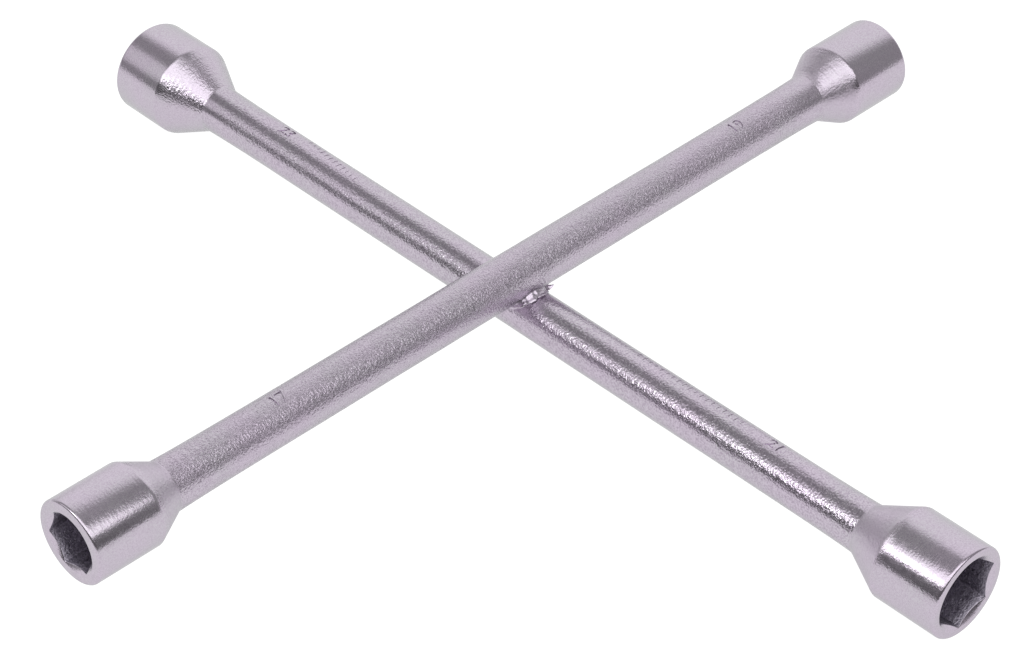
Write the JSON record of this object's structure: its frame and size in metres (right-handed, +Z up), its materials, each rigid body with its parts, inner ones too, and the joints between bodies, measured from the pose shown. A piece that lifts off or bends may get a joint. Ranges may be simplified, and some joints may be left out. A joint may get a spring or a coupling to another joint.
{
  "type": "lug wrench",
  "caption": "Cross-shaped wheel-nut wrench of two welded round bars with a hexagon socket on each end, in satin chrome.",
  "frame": {"origin": "centre of the footprint, level with the lowest point of the 23 socket", "axes": "+X along the upper bar from the 17 socket to the 19 socket; +Y along the lower bar from the 21 socket to the 23 socket; +Z up, square to both bars, from the lower bar to the upper bar"},
  "size_m": [0.348, 0.362, 0.0426],
  "materials": {
    "blasted_chrome": "satin chrome plate over shot-blasted steel bar, fine sparkling grain",
    "turned_chrome": "satin chrome plate over turned steel, faint turning marks; the hexagons are dark and grainy inside",
    "weld_chrome": "chrome plate over the rough squeezed-out metal of the weld"
  },
  "bodies": {
    "root": {"upper_bar": "blasted_chrome", "lower_bar": "blasted_chrome", "socket_17": "turned_chrome", "socket_19": "turned_chrome", "socket_21": "turned_chrome", "socket_23": "turned_chrome", "weld_core": "weld_chrome", "weld_flash": "weld_chrome"}
  },
  "joints": []
}
